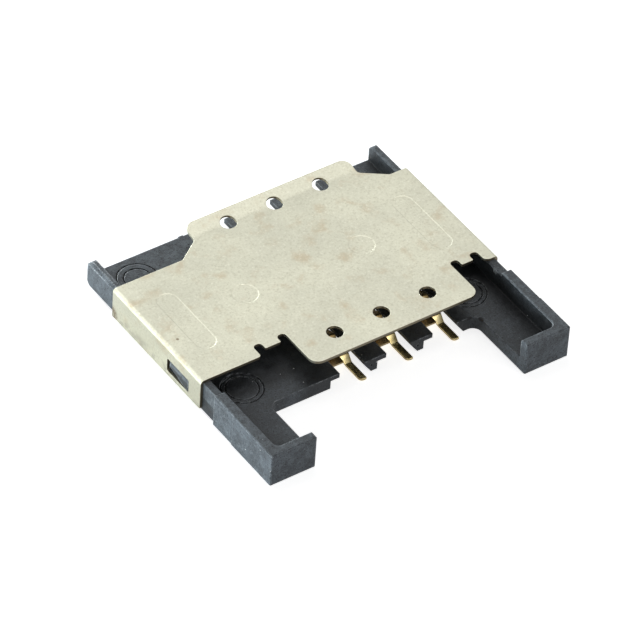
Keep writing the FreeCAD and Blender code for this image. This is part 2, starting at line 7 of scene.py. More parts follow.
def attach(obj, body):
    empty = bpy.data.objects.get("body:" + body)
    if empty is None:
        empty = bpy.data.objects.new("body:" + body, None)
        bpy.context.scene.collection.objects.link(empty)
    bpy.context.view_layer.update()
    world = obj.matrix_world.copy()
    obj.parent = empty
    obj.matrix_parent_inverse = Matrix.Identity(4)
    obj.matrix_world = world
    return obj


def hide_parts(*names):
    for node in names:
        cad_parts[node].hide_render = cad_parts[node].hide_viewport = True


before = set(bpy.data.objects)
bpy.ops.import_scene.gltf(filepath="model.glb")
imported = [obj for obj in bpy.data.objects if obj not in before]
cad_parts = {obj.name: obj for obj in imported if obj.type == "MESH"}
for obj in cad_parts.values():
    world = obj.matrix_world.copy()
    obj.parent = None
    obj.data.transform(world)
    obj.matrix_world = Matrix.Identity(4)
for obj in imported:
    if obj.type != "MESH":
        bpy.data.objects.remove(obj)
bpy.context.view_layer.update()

# Housing: one moulding of black glass-filled plastic. It holds the contacts in six channels
# and carries the cover on its side walls. The CAD solid stays and gets its finish: mould grain,
# paler glass fibres, worn edges and specks of dust. Light and shade are painted in as well:
# paler tops, painted shade in the corners, on the floor beside the cover and in two small pits,
# and painted highlights along the edges, on the back wall's top and on the right wall's top.
MM = 0.001


def add(tree, kind, **settings):
    node = tree.nodes.new(kind)
    for name, value in settings.items():
        setattr(node, name, value)
    return node


def feed(tree, socket, value):
    """A number or colour is set on the socket, and anything else is linked to it."""
    if isinstance(value, (int, float, tuple)):
        socket.default_value = value
    else:
        tree.links.new(value, socket)


def maths(tree, operation, a, b=0.0):
    node = add(tree, "ShaderNodeMath", operation=operation)
    feed(tree, node.inputs[0], a)
    feed(tree, node.inputs[1], b)
    return node.outputs["Value"]


def between(tree, value, low, high, start=0.0, end=1.0):
    """Eases from start to end while value goes from low to high."""
    node = add(tree, "ShaderNodeMapRange", interpolation_type="SMOOTHSTEP")
    feed(tree, node.inputs["Value"], value)
    node.inputs["From Min"].default_value = low
    node.inputs["From Max"].default_value = high
    node.inputs["To Min"].default_value = start
    node.inputs["To Max"].default_value = end
    return node.outputs["Result"]


def both(tree, a, b):
    """The share of a place that lies in a and also in b."""
    return maths(tree, "MULTIPLY", a, b)


def either(tree, a, b):
    return maths(tree, "MAXIMUM", a, b)


# The Mix node keeps its colour sockets at these numbers.
MIX_A, MIX_B, MIX_RESULT = 6, 7, 2


def blend(tree, share, a, b):
    node = add(tree, "ShaderNodeMix", data_type="RGBA")
    feed(tree, node.inputs["Factor"], share)
    feed(tree, node.inputs[MIX_A], a)
    feed(tree, node.inputs[MIX_B], b)
    return node.outputs[MIX_RESULT]


def coats(tree, colour, *layers):
    """Lays coats over a colour. Each has its pattern, the values of the pattern at which it
    starts and is full, how much of it shows where it is full, and its colour."""
    for pattern, start, full, share, coat in layers:
        colour = blend(tree, between(tree, pattern, start, full, 0.0, share), colour, coat)
    return colour


def new_group(name, inputs, outputs):
    tree = bpy.data.node_groups.new(name, "ShaderNodeTree")
    for socket, kind, value in inputs:
        item = tree.interface.new_socket(name=socket, in_out="INPUT", socket_type=kind)
        item.default_value = value
    for socket, kind in outputs:
        tree.interface.new_socket(name=socket, in_out="OUTPUT", socket_type=kind)
    return tree, add(tree, "NodeGroupInput"), add(tree, "NodeGroupOutput")


def grain_group():
    """Noise at one spot size, shifted by Seed, as a value from 0 to 1."""
    tree, start, end = new_group(
        "grain", [("Spot", "NodeSocketFloat", 0.1), ("Detail", "NodeSocketFloat", 3.0),
                  ("Seed", "NodeSocketFloat", 0.0)], [("Value", "NodeSocketFloat")])
    place = add(tree, "ShaderNodeTexCoord")
    size = add(tree, "ShaderNodeVectorMath", operation="SCALE")
    tree.links.new(place.outputs["Object"], size.inputs[0])
    tree.links.new(maths(tree, "DIVIDE", 1 / MM, start.outputs["Spot"]), size.inputs["Scale"])
    shift = add(tree, "ShaderNodeVectorMath", operation="ADD")
    tree.links.new(size.outputs["Vector"], shift.inputs[0])
    tree.links.new(start.outputs["Seed"], shift.inputs[1])
    spots = add(tree, "ShaderNodeTexNoise")
    spots.inputs["Scale"].default_value = 1.0
    spots.inputs["Roughness"].default_value = 0.6
    tree.links.new(start.outputs["Detail"], spots.inputs["Detail"])
    tree.links.new(shift.outputs["Vector"], spots.inputs["Vector"])
    tree.links.new(spots.outputs["Fac"], end.inputs["Value"])
    return tree


def edge_wear_and_highlight_group():
    """Edges broken up by grain: worn edges, and on the plastic also painted highlights."""
    tree, start, end = new_group(
        "edge_wear_and_highlight", [("Radius", "NodeSocketFloat", 0.05), ("Spot", "NodeSocketFloat", 0.15)],
        [("Mask", "NodeSocketFloat")])
    soft = add(tree, "ShaderNodeBevel", samples=6)
    tree.links.new(maths(tree, "MULTIPLY", start.outputs["Radius"], MM), soft.inputs["Radius"])
    true = add(tree, "ShaderNodeNewGeometry")
    dot = add(tree, "ShaderNodeVectorMath", operation="DOT_PRODUCT")
    tree.links.new(soft.outputs["Normal"], dot.inputs[0])
    tree.links.new(true.outputs["Normal"], dot.inputs[1])
    edge = between(tree, maths(tree, "SUBTRACT", 1.0, dot.outputs["Value"]), 0.01, 0.12)
    patch = add(tree, "ShaderNodeGroup", node_tree=GRAIN)
    tree.links.new(start.outputs["Spot"], patch.inputs["Spot"])
    broken = between(tree, patch.outputs["Value"], 0.38, 0.62)
    tree.links.new(both(tree, edge, broken), end.inputs["Mask"])
    return tree


GRAIN = grain_group()
EDGE_WEAR_AND_HIGHLIGHT = edge_wear_and_highlight_group()


def grain(tree, spot, seed, detail=3.0):
    node = add(tree, "ShaderNodeGroup", node_tree=GRAIN)
    node.inputs["Spot"].default_value = spot
    node.inputs["Seed"].default_value = seed
    node.inputs["Detail"].default_value = detail
    return node.outputs["Value"]


def edge_wear_and_highlight(tree, radius, spot):
    node = add(tree, "ShaderNodeGroup", node_tree=EDGE_WEAR_AND_HIGHLIGHT)
    node.inputs["Radius"].default_value = radius
    node.inputs["Spot"].default_value = spot
    return node.outputs["Mask"]


def new_material(name):
    material = bpy.data.materials.new(name)
    material.use_nodes = True
    tree = material.node_tree
    return material, tree, tree.nodes["Principled BSDF"]


def bump(tree, shader, height, distance, soft_edge=0.0):
    """Bumps of a distance in millimetres, on edges that shine as if rounded by soft_edge."""
    node = add(tree, "ShaderNodeBump")
    node.inputs["Distance"].default_value = distance * MM
    tree.links.new(height, node.inputs["Height"])
    if soft_edge:
        soft = add(tree, "ShaderNodeBevel", samples=6)
        soft.inputs["Radius"].default_value = soft_edge * MM
        tree.links.new(soft.outputs["Normal"], node.inputs["Normal"])
    tree.links.new(node.outputs["Normal"], shader.inputs["Normal"])


def shut_in(tree, reach, inside=False):
    """Falls below 1 in corners, or at outer edges where it looks inside the piece."""
    node = add(tree, "ShaderNodeAmbientOcclusion", samples=8, inside=inside, only_local=True)
    node.inputs["Distance"].default_value = reach * MM
    return node.outputs["AO"]


def near_place(tree, place, radius):
    """1 round a place in millimetres, fading to 0 at the radius."""
    here = add(tree, "ShaderNodeTexCoord")
    gap = add(tree, "ShaderNodeVectorMath", operation="DISTANCE")
    tree.links.new(here.outputs["Object"], gap.inputs[0])
    gap.inputs[1].default_value = [length * MM for length in place]
    return between(tree, gap.outputs["Value"], 0.5 * radius * MM, radius * MM, 1.0, 0.0)


def facing(tree, axis):
    """1 on a face square to the axis and 0 on one along it."""
    face = add(tree, "ShaderNodeNewGeometry")
    parts = add(tree, "ShaderNodeSeparateXYZ")
    tree.links.new(face.outputs["Normal"], parts.inputs["Vector"])
    return maths(tree, "ABSOLUTE", parts.outputs[axis])


def along(tree, axis):
    """The place along an axis, in millimetres."""
    here = add(tree, "ShaderNodeTexCoord")
    parts = add(tree, "ShaderNodeSeparateXYZ")
    tree.links.new(here.outputs["Object"], parts.inputs["Vector"])
    return maths(tree, "DIVIDE", parts.outputs[axis], MM)


PLASTIC_DARK = (0.060, 0.070, 0.080, 1)
PLASTIC_PALE = (0.098, 0.115, 0.132, 1)
GLASS_FIBRE = (0.135, 0.153, 0.170, 1)
BETWEEN_FIBRES = (0.024, 0.028, 0.032, 1)
PALE_SPECK = (0.19, 0.21, 0.23, 1)
DARK_SPECK = (0.010, 0.011, 0.012, 1)
# Specks of dust, and the painted light that makes the tops paler.
DUST_AND_TOP_LIGHT = (0.75, 0.76, 0.76, 1)
# Painted shade, in corners and where the cover shades the floor.
PAINTED_SHADE = (0.008, 0.009, 0.010, 1)
# Worn edges, paled further as a painted edge highlight.
RUBBED_EDGE_AND_HIGHLIGHT = (0.38, 0.405, 0.43, 1)
# Painted highlight and painted glint.
PAINTED_HIGHLIGHT = (0.80, 0.84, 0.88, 1)
# Painted shade inside the pits.
PIT_SHADE = (0.004, 0.004, 0.005, 1)
# Single places: where they are and how far they reach, in millimetres.
PITS = (((5.26, -4.12, 0.68), 0.20), ((5.62, -4.40, 0.68), 0.21))
# Where the painted highlight and the painted glint sit.
BACK_WALL_HIGHLIGHT = ((-7.6, 6.4, 2.3), 1.8)
RIGHT_WALL_GLINT = ((7.3, -2.75, 1.5), 0.35)
# The cover's shade on the floor of the pocket, laid into the colour. Each pair says where it
# starts and where it is full, in millimetres.
SHADE_BELOW = (0.78, 0.72)
SHADE_LEFT = (-4.2, -3.4)
SHADE_RIGHT = (5.6, 5.0)
SHADE_FRONT = (-3.6, -2.7)
SHADE_BACK = (2.5, 1.5)
SHADE = 0.75


def charcoal_plastic():
    material, tree, shader = new_material("charcoal_plastic")
    clouds = grain(tree, spot=1.0, seed=3.0, detail=5.0)
    fibres = grain(tree, spot=0.30, seed=7.0, detail=5.0)
    speckle = grain(tree, spot=0.075, seed=11.0)
    dust = grain(tree, spot=0.12, seed=19.0, detail=0.0)
    colour = blend(tree, between(tree, clouds, 0.36, 0.64), PLASTIC_DARK, PLASTIC_PALE)
    colour = coats(tree, colour,
                   (fibres, 0.48, 0.66, 0.9, GLASS_FIBRE),
                   (fibres, 0.46, 0.36, 0.45, BETWEEN_FIBRES),
                   (speckle, 0.56, 0.74, 0.8, PALE_SPECK),
                   (speckle, 0.45, 0.32, 1.0, DARK_SPECK),
                   # painted light: faces that look up are made paler
                   (facing(tree, "Z"), 0.8, 1.0, 0.04, DUST_AND_TOP_LIGHT),
                   # painted shade: darker in corners, where the housing's own shape shuts out
                   # light
                   (shut_in(tree, reach=2.0), 0.95, 0.66, 0.95, PAINTED_SHADE))
    # Painted shade of the cover on the floor of the pocket.
    x, y, z = (along(tree, axis) for axis in "XYZ")
    beside_tongue = both(tree, between(tree, x, *SHADE_LEFT), between(tree, x, *SHADE_RIGHT))
    near_cover = either(tree, beside_tongue, between(tree, y, *SHADE_FRONT))
    floor = both(tree, between(tree, z, *SHADE_BELOW), between(tree, y, *SHADE_BACK))
    colour = blend(tree, both(tree, both(tree, floor, near_cover), SHADE), colour, PAINTED_SHADE)
    # Convex edges are paler: worn, and a painted edge highlight.
    outer = between(tree, shut_in(tree, reach=0.15, inside=True), 0.95, 0.75, end=0.95)
    rubbed_and_highlit = both(tree, edge_wear_and_highlight(tree, radius=0.09, spot=0.2), outer)
    colour = blend(tree, rubbed_and_highlit, colour, RUBBED_EDGE_AND_HIGHLIGHT)
    # A painted highlight along the back wall's top, and a painted glint on the right wall's top.
    top_edge_highlight = edge_wear_and_highlight(tree, radius=0.20, spot=0.06)
    wall_top_highlight = both(tree, top_edge_highlight, near_place(tree, *BACK_WALL_HIGHLIGHT))
    right_wall_glint = both(tree, near_place(tree, *RIGHT_WALL_GLINT), between(tree, speckle, 0.40, 0.55))
    colour = blend(tree, either(tree, wall_top_highlight, right_wall_glint), colour, PAINTED_HIGHLIGHT)
    # Two small pits painted near black: painted shade inside them.
    pits = either(tree, near_place(tree, *PITS[0]), near_place(tree, *PITS[1]))
    colour = blend(tree, pits, colour, PIT_SHADE)
    colour = coats(tree, colour, (dust, 0.885, 0.90, 1.0, DUST_AND_TOP_LIGHT))
    tree.links.new(colour, shader.inputs["Base Color"])
    tree.links.new(between(tree, fibres, 0.3, 0.7, start=0.36, end=0.56),
                   shader.inputs["Roughness"])
    shader.inputs["Specular IOR Level"].default_value = 0.33
    height = maths(tree, "ADD", speckle, maths(tree, "MULTIPLY", fibres, 2.0))
    bump(tree, shader, height, distance=0.012, soft_edge=0.07)
    return material


CHARCOAL = charcoal_plastic()
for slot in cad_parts["housing"].material_slots:
    slot.material = CHARCOAL

# Contacts: six equal strips of springy bronze, each cut and folded in one piece. The tails are
# gilt for soldering. The frames, which the plastic grips, and the sprung fingers in their
# windows are painted dark, as painted shade under the cover. The back row is turned half round.
STRIP = 0.1
BASE_TOP = 0.45
FRAME_LEFT, FRAME_RIGHT = -1.24, 0.62
FRAME_FRONT, FRAME_BACK = -0.69, 3.45
FRAME_NECK = (0.1, -0.25)
TAIL_ROOT = (0.26, -0.6)
TAIL_TIP = -1.8
TAIL_ROUND = 0.2
TAIL_BENDS = (-0.3, -0.6)
TAIL_EASE = 0.035
WINDOW_LEFT, WINDOW_RIGHT = -0.5, 0.42
WINDOW_START, WINDOW_END = -0.1, 3.0
FINGER_HALF_TIP, FINGER_HALF_ROOT = 0.22, 0.32
FINGER_TIP, FINGER_TAPER = 0.0186, 0.25
FINGER_ROOT = 2.95
ROOT_EASE, ROOT_MARGIN = 0.05, 0.005
CROWN = 0.25
CROWN_EASE = 0.15
CROWN_TOP = 1.348
FINGER_FALL = math.tan(math.radians(50))
STRIP_CORNER, STRIP_ROUND = 0.04, 0.05
STRIP_BORDER = 0.02
STRIP_EDGE = 0.012
COLUMNS = (-1.17, 1.37, 3.91)
FRONT_ROW = -2.575
BACK_ROW = 5.985


def only(item):
    """Makes this the one selected and active object."""
    bpy.ops.object.select_all(action="DESELECT")
    item.select_set(True)
    bpy.context.view_layer.objects.active = item


def edit(item):
    only(item)
    bpy.ops.object.mode_set(mode="EDIT")


def done():
    bpy.ops.object.mode_set(mode="OBJECT")


def apply_modifier(item, kind, **settings):
    only(item)
    modifier = item.modifiers.new(kind.lower(), kind)
    for name, value in settings.items():
        setattr(modifier, name, value)
    bpy.ops.object.modifier_apply(modifier=modifier.name)


def settle(item):
    """Work is done in millimetres. This puts size and place into the mesh, in metres."""
    only(item)
    item.scale = (MM, MM, MM)
    bpy.ops.object.transform_apply(location=True, rotation=True, scale=True)


def rounded(corners, steps=6):
    """Corners (x, y, radius) as the points of an outline with rounded corners."""
    points = []
    for index, (x, y, radius) in enumerate(corners):
        here = Vector((x, y))
        if not radius:
            points.append(here)
            continue
        before = (Vector(corners[index - 1][:2]) - here).normalized()
        after = (Vector(corners[(index + 1) % len(corners)][:2]) - here).normalized()
        half = before.angle(after) / 2
        centre = here + (before + after).normalized() * radius / math.sin(half)
        first = here + before * radius / math.tan(half) - centre
        last = here + after * radius / math.tan(half) - centre
        turn = math.atan2(first.x * last.y - first.y * last.x, first.dot(last))
        for step in range(steps + 1):
            points.append(centre + Matrix.Rotation(turn * step / steps, 2) @ first)
    return points


# Points nearer to each other than MERGE become one, and HAIR tells a point on a line from one
# beside it.
MERGE = 0.0005
HAIR = 0.001


def blank(name, outline, openings, border):
    """A flat sheet with openings. A narrow strip of faces runs along every cut edge, so
    that the edge can be rounded later without a mark on the sheet."""
    curve = bpy.data.curves.new(name, "CURVE")
    curve.dimensions = "2D"
    curve.fill_mode = "BOTH"
    for points in (outline, *openings):
        spline = curve.splines.new("POLY")
        spline.points.add(len(points) - 1)
        for point, (x, y) in zip(spline.points, points):
            point.co = (x, y, 0, 1)
        spline.use_cyclic_u = True
    item = bpy.data.objects.new(name, curve)
    bpy.context.scene.collection.objects.link(item)
    only(item)
    bpy.ops.object.convert(target="MESH")
    edit(item)
    bpy.ops.mesh.select_all(action="SELECT")
    bpy.ops.mesh.remove_doubles(threshold=MERGE)
    bpy.ops.mesh.dissolve_degenerate(threshold=0.001)
    bpy.ops.mesh.normals_make_consistent(inside=False)
    done()
    if sum(face.normal.z for face in item.data.polygons) < 0:
        item.data.flip_normals()
    edit(item)
    bpy.ops.mesh.select_all(action="SELECT")
    bpy.ops.mesh.dissolve_limited(angle_limit=0.01)
    bpy.ops.mesh.select_all(action="SELECT")
    bpy.ops.mesh.inset(thickness=border, depth=0, use_boundary=True)
    done()
    return item


def crease(item, places, axis="y"):
    """Divides the sheet along straight lines, so that it can be bent there."""
    edit(item)
    for place in places:
        bpy.ops.mesh.select_all(action="SELECT")
        at = (0, place, 0) if axis == "y" else (place, 0, 0)
        bpy.ops.mesh.bisect(plane_co=at, plane_no=(axis == "x", axis == "y", 0))
    bpy.ops.mesh.select_all(action="SELECT")
    bpy.ops.mesh.remove_doubles(threshold=MERGE)
    done()


def eased(distance, width):
    """0 before a bend and the distance past it, eased over width to each side."""
    if distance <= -width:
        return 0.0
    if distance >= width:
        return distance
    return (distance + width) ** 2 / (4 * width)


def give_thickness(item, thickness, edge):
    """Adds the sheet's thickness below it and rounds its cut edges."""
    apply_modifier(item, "SOLIDIFY", thickness=thickness, offset=-1)
    apply_modifier(item, "BEVEL", limit_method="ANGLE", angle_limit=math.radians(60),
                   width=edge, segments=2, use_clamp_overlap=False)
    only(item)
    bpy.ops.object.shade_smooth_by_angle(angle=math.radians(35))
    apply_modifier(item, "WEIGHTED_NORMAL", weight=100, keep_sharp=True)


def contact_pattern():
    slope = (BASE_TOP - STRIP) / (TAIL_BENDS[0] - TAIL_BENDS[1])
    rise = (CROWN_TOP - BASE_TOP) / (FINGER_ROOT + ROOT_EASE - CROWN)
    outline = rounded([
        (FRAME_LEFT, FRAME_FRONT, STRIP_CORNER), (FRAME_NECK[0], FRAME_FRONT, STRIP_CORNER),
        (*FRAME_NECK, 0), (*TAIL_ROOT, 0), (TAIL_ROOT[0], TAIL_TIP, TAIL_ROUND),
        (FRAME_RIGHT, TAIL_TIP, STRIP_ROUND), (FRAME_RIGHT, FRAME_BACK, STRIP_CORNER),
        (FRAME_LEFT, FRAME_BACK, STRIP_CORNER)])
    window = rounded([
        (WINDOW_LEFT, WINDOW_START, STRIP_ROUND), (WINDOW_RIGHT, WINDOW_START, STRIP_ROUND),
        (WINDOW_RIGHT, WINDOW_END, STRIP_CORNER), (FINGER_HALF_ROOT, WINDOW_END, STRIP_CORNER),
        (FINGER_HALF_TIP, FINGER_TAPER, 0), (FINGER_HALF_TIP, FINGER_TIP, STRIP_ROUND),
        (-FINGER_HALF_TIP, FINGER_TIP, STRIP_ROUND), (-FINGER_HALF_TIP, FINGER_TAPER, 0),
        (-FINGER_HALF_ROOT, WINDOW_END, STRIP_CORNER),
        (WINDOW_LEFT, WINDOW_END, STRIP_CORNER)], steps=4)
    item = blank("contact", outline, [window], STRIP_BORDER)
    crease(item, [bend + TAIL_EASE * step for bend in TAIL_BENDS for step in (-1, -0.4, 0.4, 1)])
    crease(item, [CROWN + CROWN_EASE * step for step in (-1, -0.6, -0.2, 0.2, 0.6, 1)])
    crease(item, [FINGER_ROOT + step for step in (-ROOT_EASE, -0.02, 0.02)])
    # The frame stays flat, and only the tail and the finger are bent.
    for vertex in item.data.vertices:
        x, y, z = vertex.co
        vertex.co.z = BASE_TOP
        if x > FRAME_NECK[0] + HAIR:
            vertex.co.z -= slope * (eased(TAIL_BENDS[0] - y, TAIL_EASE)
                                    - eased(TAIL_BENDS[1] - y, TAIL_EASE))
        if abs(x) < FINGER_HALF_ROOT + ROOT_MARGIN and 0.0 < y < WINDOW_END - HAIR:
            vertex.co.z += (rise * eased(FINGER_ROOT - y, ROOT_EASE)
                            - (rise + FINGER_FALL) * eased(CROWN - y, CROWN_EASE))
    give_thickness(item, STRIP, STRIP_EDGE)
    return item


GOLD_DULL = (0.86, 0.68, 0.30, 1)
GOLD_BRIGHT = (0.98, 0.84, 0.46, 1)
DRAWN_LINE = (0.45, 0.30, 0.10, 1)
# Painted shade under the cover.
UNDER_COVER_SHADE = (0.22, 0.14, 0.06, 1)
STEEP_GOLD = (0.34, 0.28, 0.18, 1)
WORN_GOLD = (0.62, 0.50, 0.33, 1)


def gold_plating():
    material, tree, shader = new_material("gold_plating")
    clouds = grain(tree, spot=0.5, seed=5.0, detail=4.0)
    drawn = grain(tree, spot=0.05, seed=9.0)
    slope = facing(tree, "Z")
    colour = blend(tree, between(tree, clouds, 0.3, 0.7), GOLD_DULL, GOLD_BRIGHT)
    colour = coats(tree, colour,
                   (drawn, 0.6, 0.8, 0.5, DRAWN_LINE),
                   # painted shade: everything above the tails, under the cover, is darkened to
                   # brown
                   (along(tree, "Z"), 0.38, 0.45, 0.85, UNDER_COVER_SHADE),
                   (slope, 0.4, 0.2, 0.85, STEEP_GOLD))
    worn = both(tree, edge_wear_and_highlight(tree, radius=0.02, spot=0.08), 0.4)
    colour = blend(tree, worn, colour, WORN_GOLD)
    tree.links.new(colour, shader.inputs["Base Color"])
    shader.inputs["Metallic"].default_value = 1.0
    dullness = between(tree, clouds, 0.3, 0.7, start=0.18, end=0.30)
    stretched = between(tree, slope, 0.95, 0.75, end=0.10)
    tree.links.new(maths(tree, "ADD", dullness, stretched), shader.inputs["Roughness"])
    bump(tree, shader, drawn, distance=0.002)
    return material


GOLD = gold_plating()
pattern = contact_pattern()
for row, turn, first in ((FRONT_ROW, 0, 1), (BACK_ROW, math.pi, 5)):
    for number, column in enumerate(COLUMNS, first):
        contact = bpy.data.objects.new(f"contact_strip_{number}", pattern.data.copy())
        bpy.context.scene.collection.objects.link(contact)
        contact.matrix_world = Matrix.Translation(
            (column * MM, row * MM, 0)) @ Matrix.Rotation(turn, 4, "Z")
        settle(contact)
        contact.data.materials.append(GOLD)
        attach(contact, "root")
        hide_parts(f"contact_c{number}")
bpy.data.objects.remove(pattern)

# Cover: one sheet of tinned steel. It is blanked with all its openings, pressed, and folded
# down over the housing's side walls, where its windows snap in. Its tongue reaches over the
# front contacts, and its raised lip leads the card in at the back.
SHEET = 0.15
SHEET_EDGE = 0.018
COVER_BORDER = 0.03
HALF_WIDTH = 8.1
COVER_TOP = 1.75
COVER_FRONT = -2.195
COVER_BACK = 4.945
SLOT_END = -1.445
SLOT_ROUND = 0.19
TAB_FRONT = -1.865
RIGHT_TAB = (6.33, 6.96)
RIGHT_SLOT = 7.4
LEFT_TAB = (-4.42, -3.59)
LEFT_SLOT = -4.86
TONGUE_FRONT = -3.865
TONGUE_LEFT = -3.15
TONGUE_RIGHT = 5.89
TONGUE_ROUND = 0.5
SHOULDER_END = 5.795
SHOULDER_WIDTH = 1.2
SHOULDER_ROUND = 0.25
RIGHT_FRONT_ROUND, LEFT_FRONT_ROUND = 0.3, 0.15
SHARP_CORNER, TAB_CORNER = 0.06, 0.05
LIP_BEND = 5.965
LIP_LENGTH = 0.8
LIP_RISE = math.radians(15)
LIP_EASE = 0.1
FOLD_RADIUS = 0.2
FOLD_STEPS = 6
SIDE_BOTTOM = 0.1
HOLE_RADIUS = 0.395
WINDOW_LOW, WINDOW_HIGH = 0.35, 1.06
WINDOW_FRONT, WINDOW_BACK = -1.265, 0.455
WINDOW_CORNER = 0.08
DIMPLE_SIDE, DIMPLE_MIDDLE, DIMPLE_RADIUS = 3.19, 1.615, 0.65
RIB_SIDE, RIB_START, RIB_END, RIB_RADIUS = 6.45, -0.035, 2.965, 0.55
DIMPLE_REACH, RIB_REACH = (0.7, 0.7), (0.6, 2.1)
PRESSED_STEPS = ((0.014, -0.002), (0.020, -0.0055), (0.020, -0.0055), (0.014, -0.002))
FOLD = HALF_WIDTH - FOLD_RADIUS
FOLD_LENGTH = FOLD_RADIUS * math.pi / 2


def round_outline(x, y, radius, count=40):
    return [(x + radius * math.cos(2 * math.pi * step / count),
             y + radius * math.sin(2 * math.pi * step / count)) for step in range(count)]


def long_outline(x, low, high, radius, count=16):
    """Two half circles, round (x, low) and (x, high), joined by straight sides."""
    points = []
    for middle, start in ((high, 0.0), (low, math.pi)):
        for step in range(count + 1):
            angle = start + math.pi * step / count
            points.append((x + radius * math.cos(angle), middle + radius * math.sin(angle)))
    return points


def unfolded(height):
    """How far from the middle a height on the folded side lies in the flat blank."""
    return FOLD + FOLD_LENGTH + COVER_TOP - FOLD_RADIUS - height


side_edge = unfolded(SIDE_BOTTOM)
lip_end = LIP_BEND + LIP_LENGTH
outline = rounded([
    (-side_edge, COVER_BACK, SHARP_CORNER),
    (TONGUE_LEFT - SHOULDER_WIDTH, COVER_BACK, SHOULDER_ROUND),
    (TONGUE_LEFT, SHOULDER_END, SHOULDER_ROUND), (TONGUE_LEFT, lip_end, TONGUE_ROUND),
    (TONGUE_RIGHT, lip_end, TONGUE_ROUND), (TONGUE_RIGHT, SHOULDER_END, SHOULDER_ROUND),
    (TONGUE_RIGHT + SHOULDER_WIDTH, COVER_BACK, SHOULDER_ROUND),
    (side_edge, COVER_BACK, SHARP_CORNER), (side_edge, COVER_FRONT, SHARP_CORNER),
    (RIGHT_SLOT, COVER_FRONT, RIGHT_FRONT_ROUND), (RIGHT_SLOT, SLOT_END, SLOT_ROUND),
    (RIGHT_TAB[1], SLOT_END, SLOT_ROUND), (RIGHT_TAB[1], TAB_FRONT, TAB_CORNER),
    (RIGHT_TAB[0], TAB_FRONT, TAB_CORNER), (RIGHT_TAB[0], SLOT_END, SLOT_ROUND),
    (TONGUE_RIGHT, SLOT_END, SLOT_ROUND), (TONGUE_RIGHT, TONGUE_FRONT, TONGUE_ROUND),
    (TONGUE_LEFT, TONGUE_FRONT, TONGUE_ROUND), (TONGUE_LEFT, SLOT_END, SLOT_ROUND),
    (LEFT_TAB[1], SLOT_END, SLOT_ROUND), (LEFT_TAB[1], TAB_FRONT, TAB_CORNER),
    (LEFT_TAB[0], TAB_FRONT, TAB_CORNER), (LEFT_TAB[0], SLOT_END, SLOT_ROUND),
    (LEFT_SLOT, SLOT_END, SLOT_ROUND), (LEFT_SLOT, COVER_FRONT, LEFT_FRONT_ROUND),
    (-side_edge, COVER_FRONT, SHARP_CORNER)])
openings = [round_outline(x, y, HOLE_RADIUS) for x in COLUMNS for y in (FRONT_ROW, BACK_ROW)]
for side in (-1, 1):
    low, high = side * unfolded(WINDOW_LOW), side * unfolded(WINDOW_HIGH)
    openings.append(rounded([(low, WINDOW_FRONT, WINDOW_CORNER),
                             (low, WINDOW_BACK, WINDOW_CORNER),
                             (high, WINDOW_BACK, WINDOW_CORNER),
                             (high, WINDOW_FRONT, WINDOW_CORNER)]))
pressed = [round_outline(side * DIMPLE_SIDE, DIMPLE_MIDDLE, DIMPLE_RADIUS) for side in (-1, 1)]
pressed += [long_outline(side * RIB_SIDE, RIB_START, RIB_END, RIB_RADIUS) for side in (-1, 1)]
cover = blank("cover_sheet", outline, openings + pressed, COVER_BORDER)


def choose_rim(item, middle, reach):
    """In edit mode, selects the open edges within reach of a middle and nothing else."""
    bpy.ops.mesh.select_mode(type="EDGE")
    bpy.ops.mesh.select_all(action="DESELECT")
    mesh = bmesh.from_edit_mesh(item.data)
    for edge in mesh.edges:
        centre = (edge.verts[0].co + edge.verts[1].co) / 2
        near = abs(centre.x - middle[0]) < reach[0] and abs(centre.y - middle[1]) < reach[1]
        if near and edge.is_boundary:
            edge.select_set(True)
    bmesh.update_edit_mesh(item.data)


# Each pressed place is filled and let in by a few soft steps.
edit(cover)
rib_middle = (RIB_START + RIB_END) / 2
for middle, reach in (((-DIMPLE_SIDE, DIMPLE_MIDDLE), DIMPLE_REACH),
                      ((DIMPLE_SIDE, DIMPLE_MIDDLE), DIMPLE_REACH),
                      ((-RIB_SIDE, rib_middle), RIB_REACH),
                      ((RIB_SIDE, rib_middle), RIB_REACH)):
    choose_rim(cover, middle, reach)
    bpy.ops.mesh.edge_face_add()
    bpy.ops.mesh.select_mode(type="FACE")
    for step, depth in PRESSED_STEPS:
        bpy.ops.mesh.inset(thickness=step, depth=depth)
done()

# The lip is bent up and the sides are folded down.
crease(cover, [LIP_BEND + LIP_EASE * step for step in (-1, -0.5, 0, 0.5, 1)])
crease(cover, [side * (FOLD + FOLD_LENGTH * step / FOLD_STEPS) for side in (-1, 1)
               for step in range(FOLD_STEPS + 1)], "x")
lip_radius = 2 * LIP_EASE / LIP_RISE
for vertex in cover.data.vertices:
    past = vertex.co.y - (LIP_BEND - LIP_EASE)
    if past > 0:
        angle = LIP_RISE * min(past / (2 * LIP_EASE), 1.0)
        straight = max(past - 2 * LIP_EASE, 0.0)
        vertex.co.y = (LIP_BEND - LIP_EASE + lip_radius * math.sin(angle)
                       + straight * math.cos(angle))
        vertex.co.z += lip_radius * (1 - math.cos(angle)) + straight * math.sin(angle)
    past = abs(vertex.co.x) - FOLD
    if past > 0:
        angle = min(past, FOLD_LENGTH) / FOLD_RADIUS
        side = math.copysign(1, vertex.co.x)
        vertex.co.x = side * (FOLD + FOLD_RADIUS * math.sin(angle))
        vertex.co.z -= FOLD_RADIUS * (1 - math.cos(angle)) + max(past - FOLD_LENGTH, 0.0)
    vertex.co.z += COVER_TOP
give_thickness(cover, SHEET, SHEET_EDGE)
settle(cover)
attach(cover, "root")
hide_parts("cover")


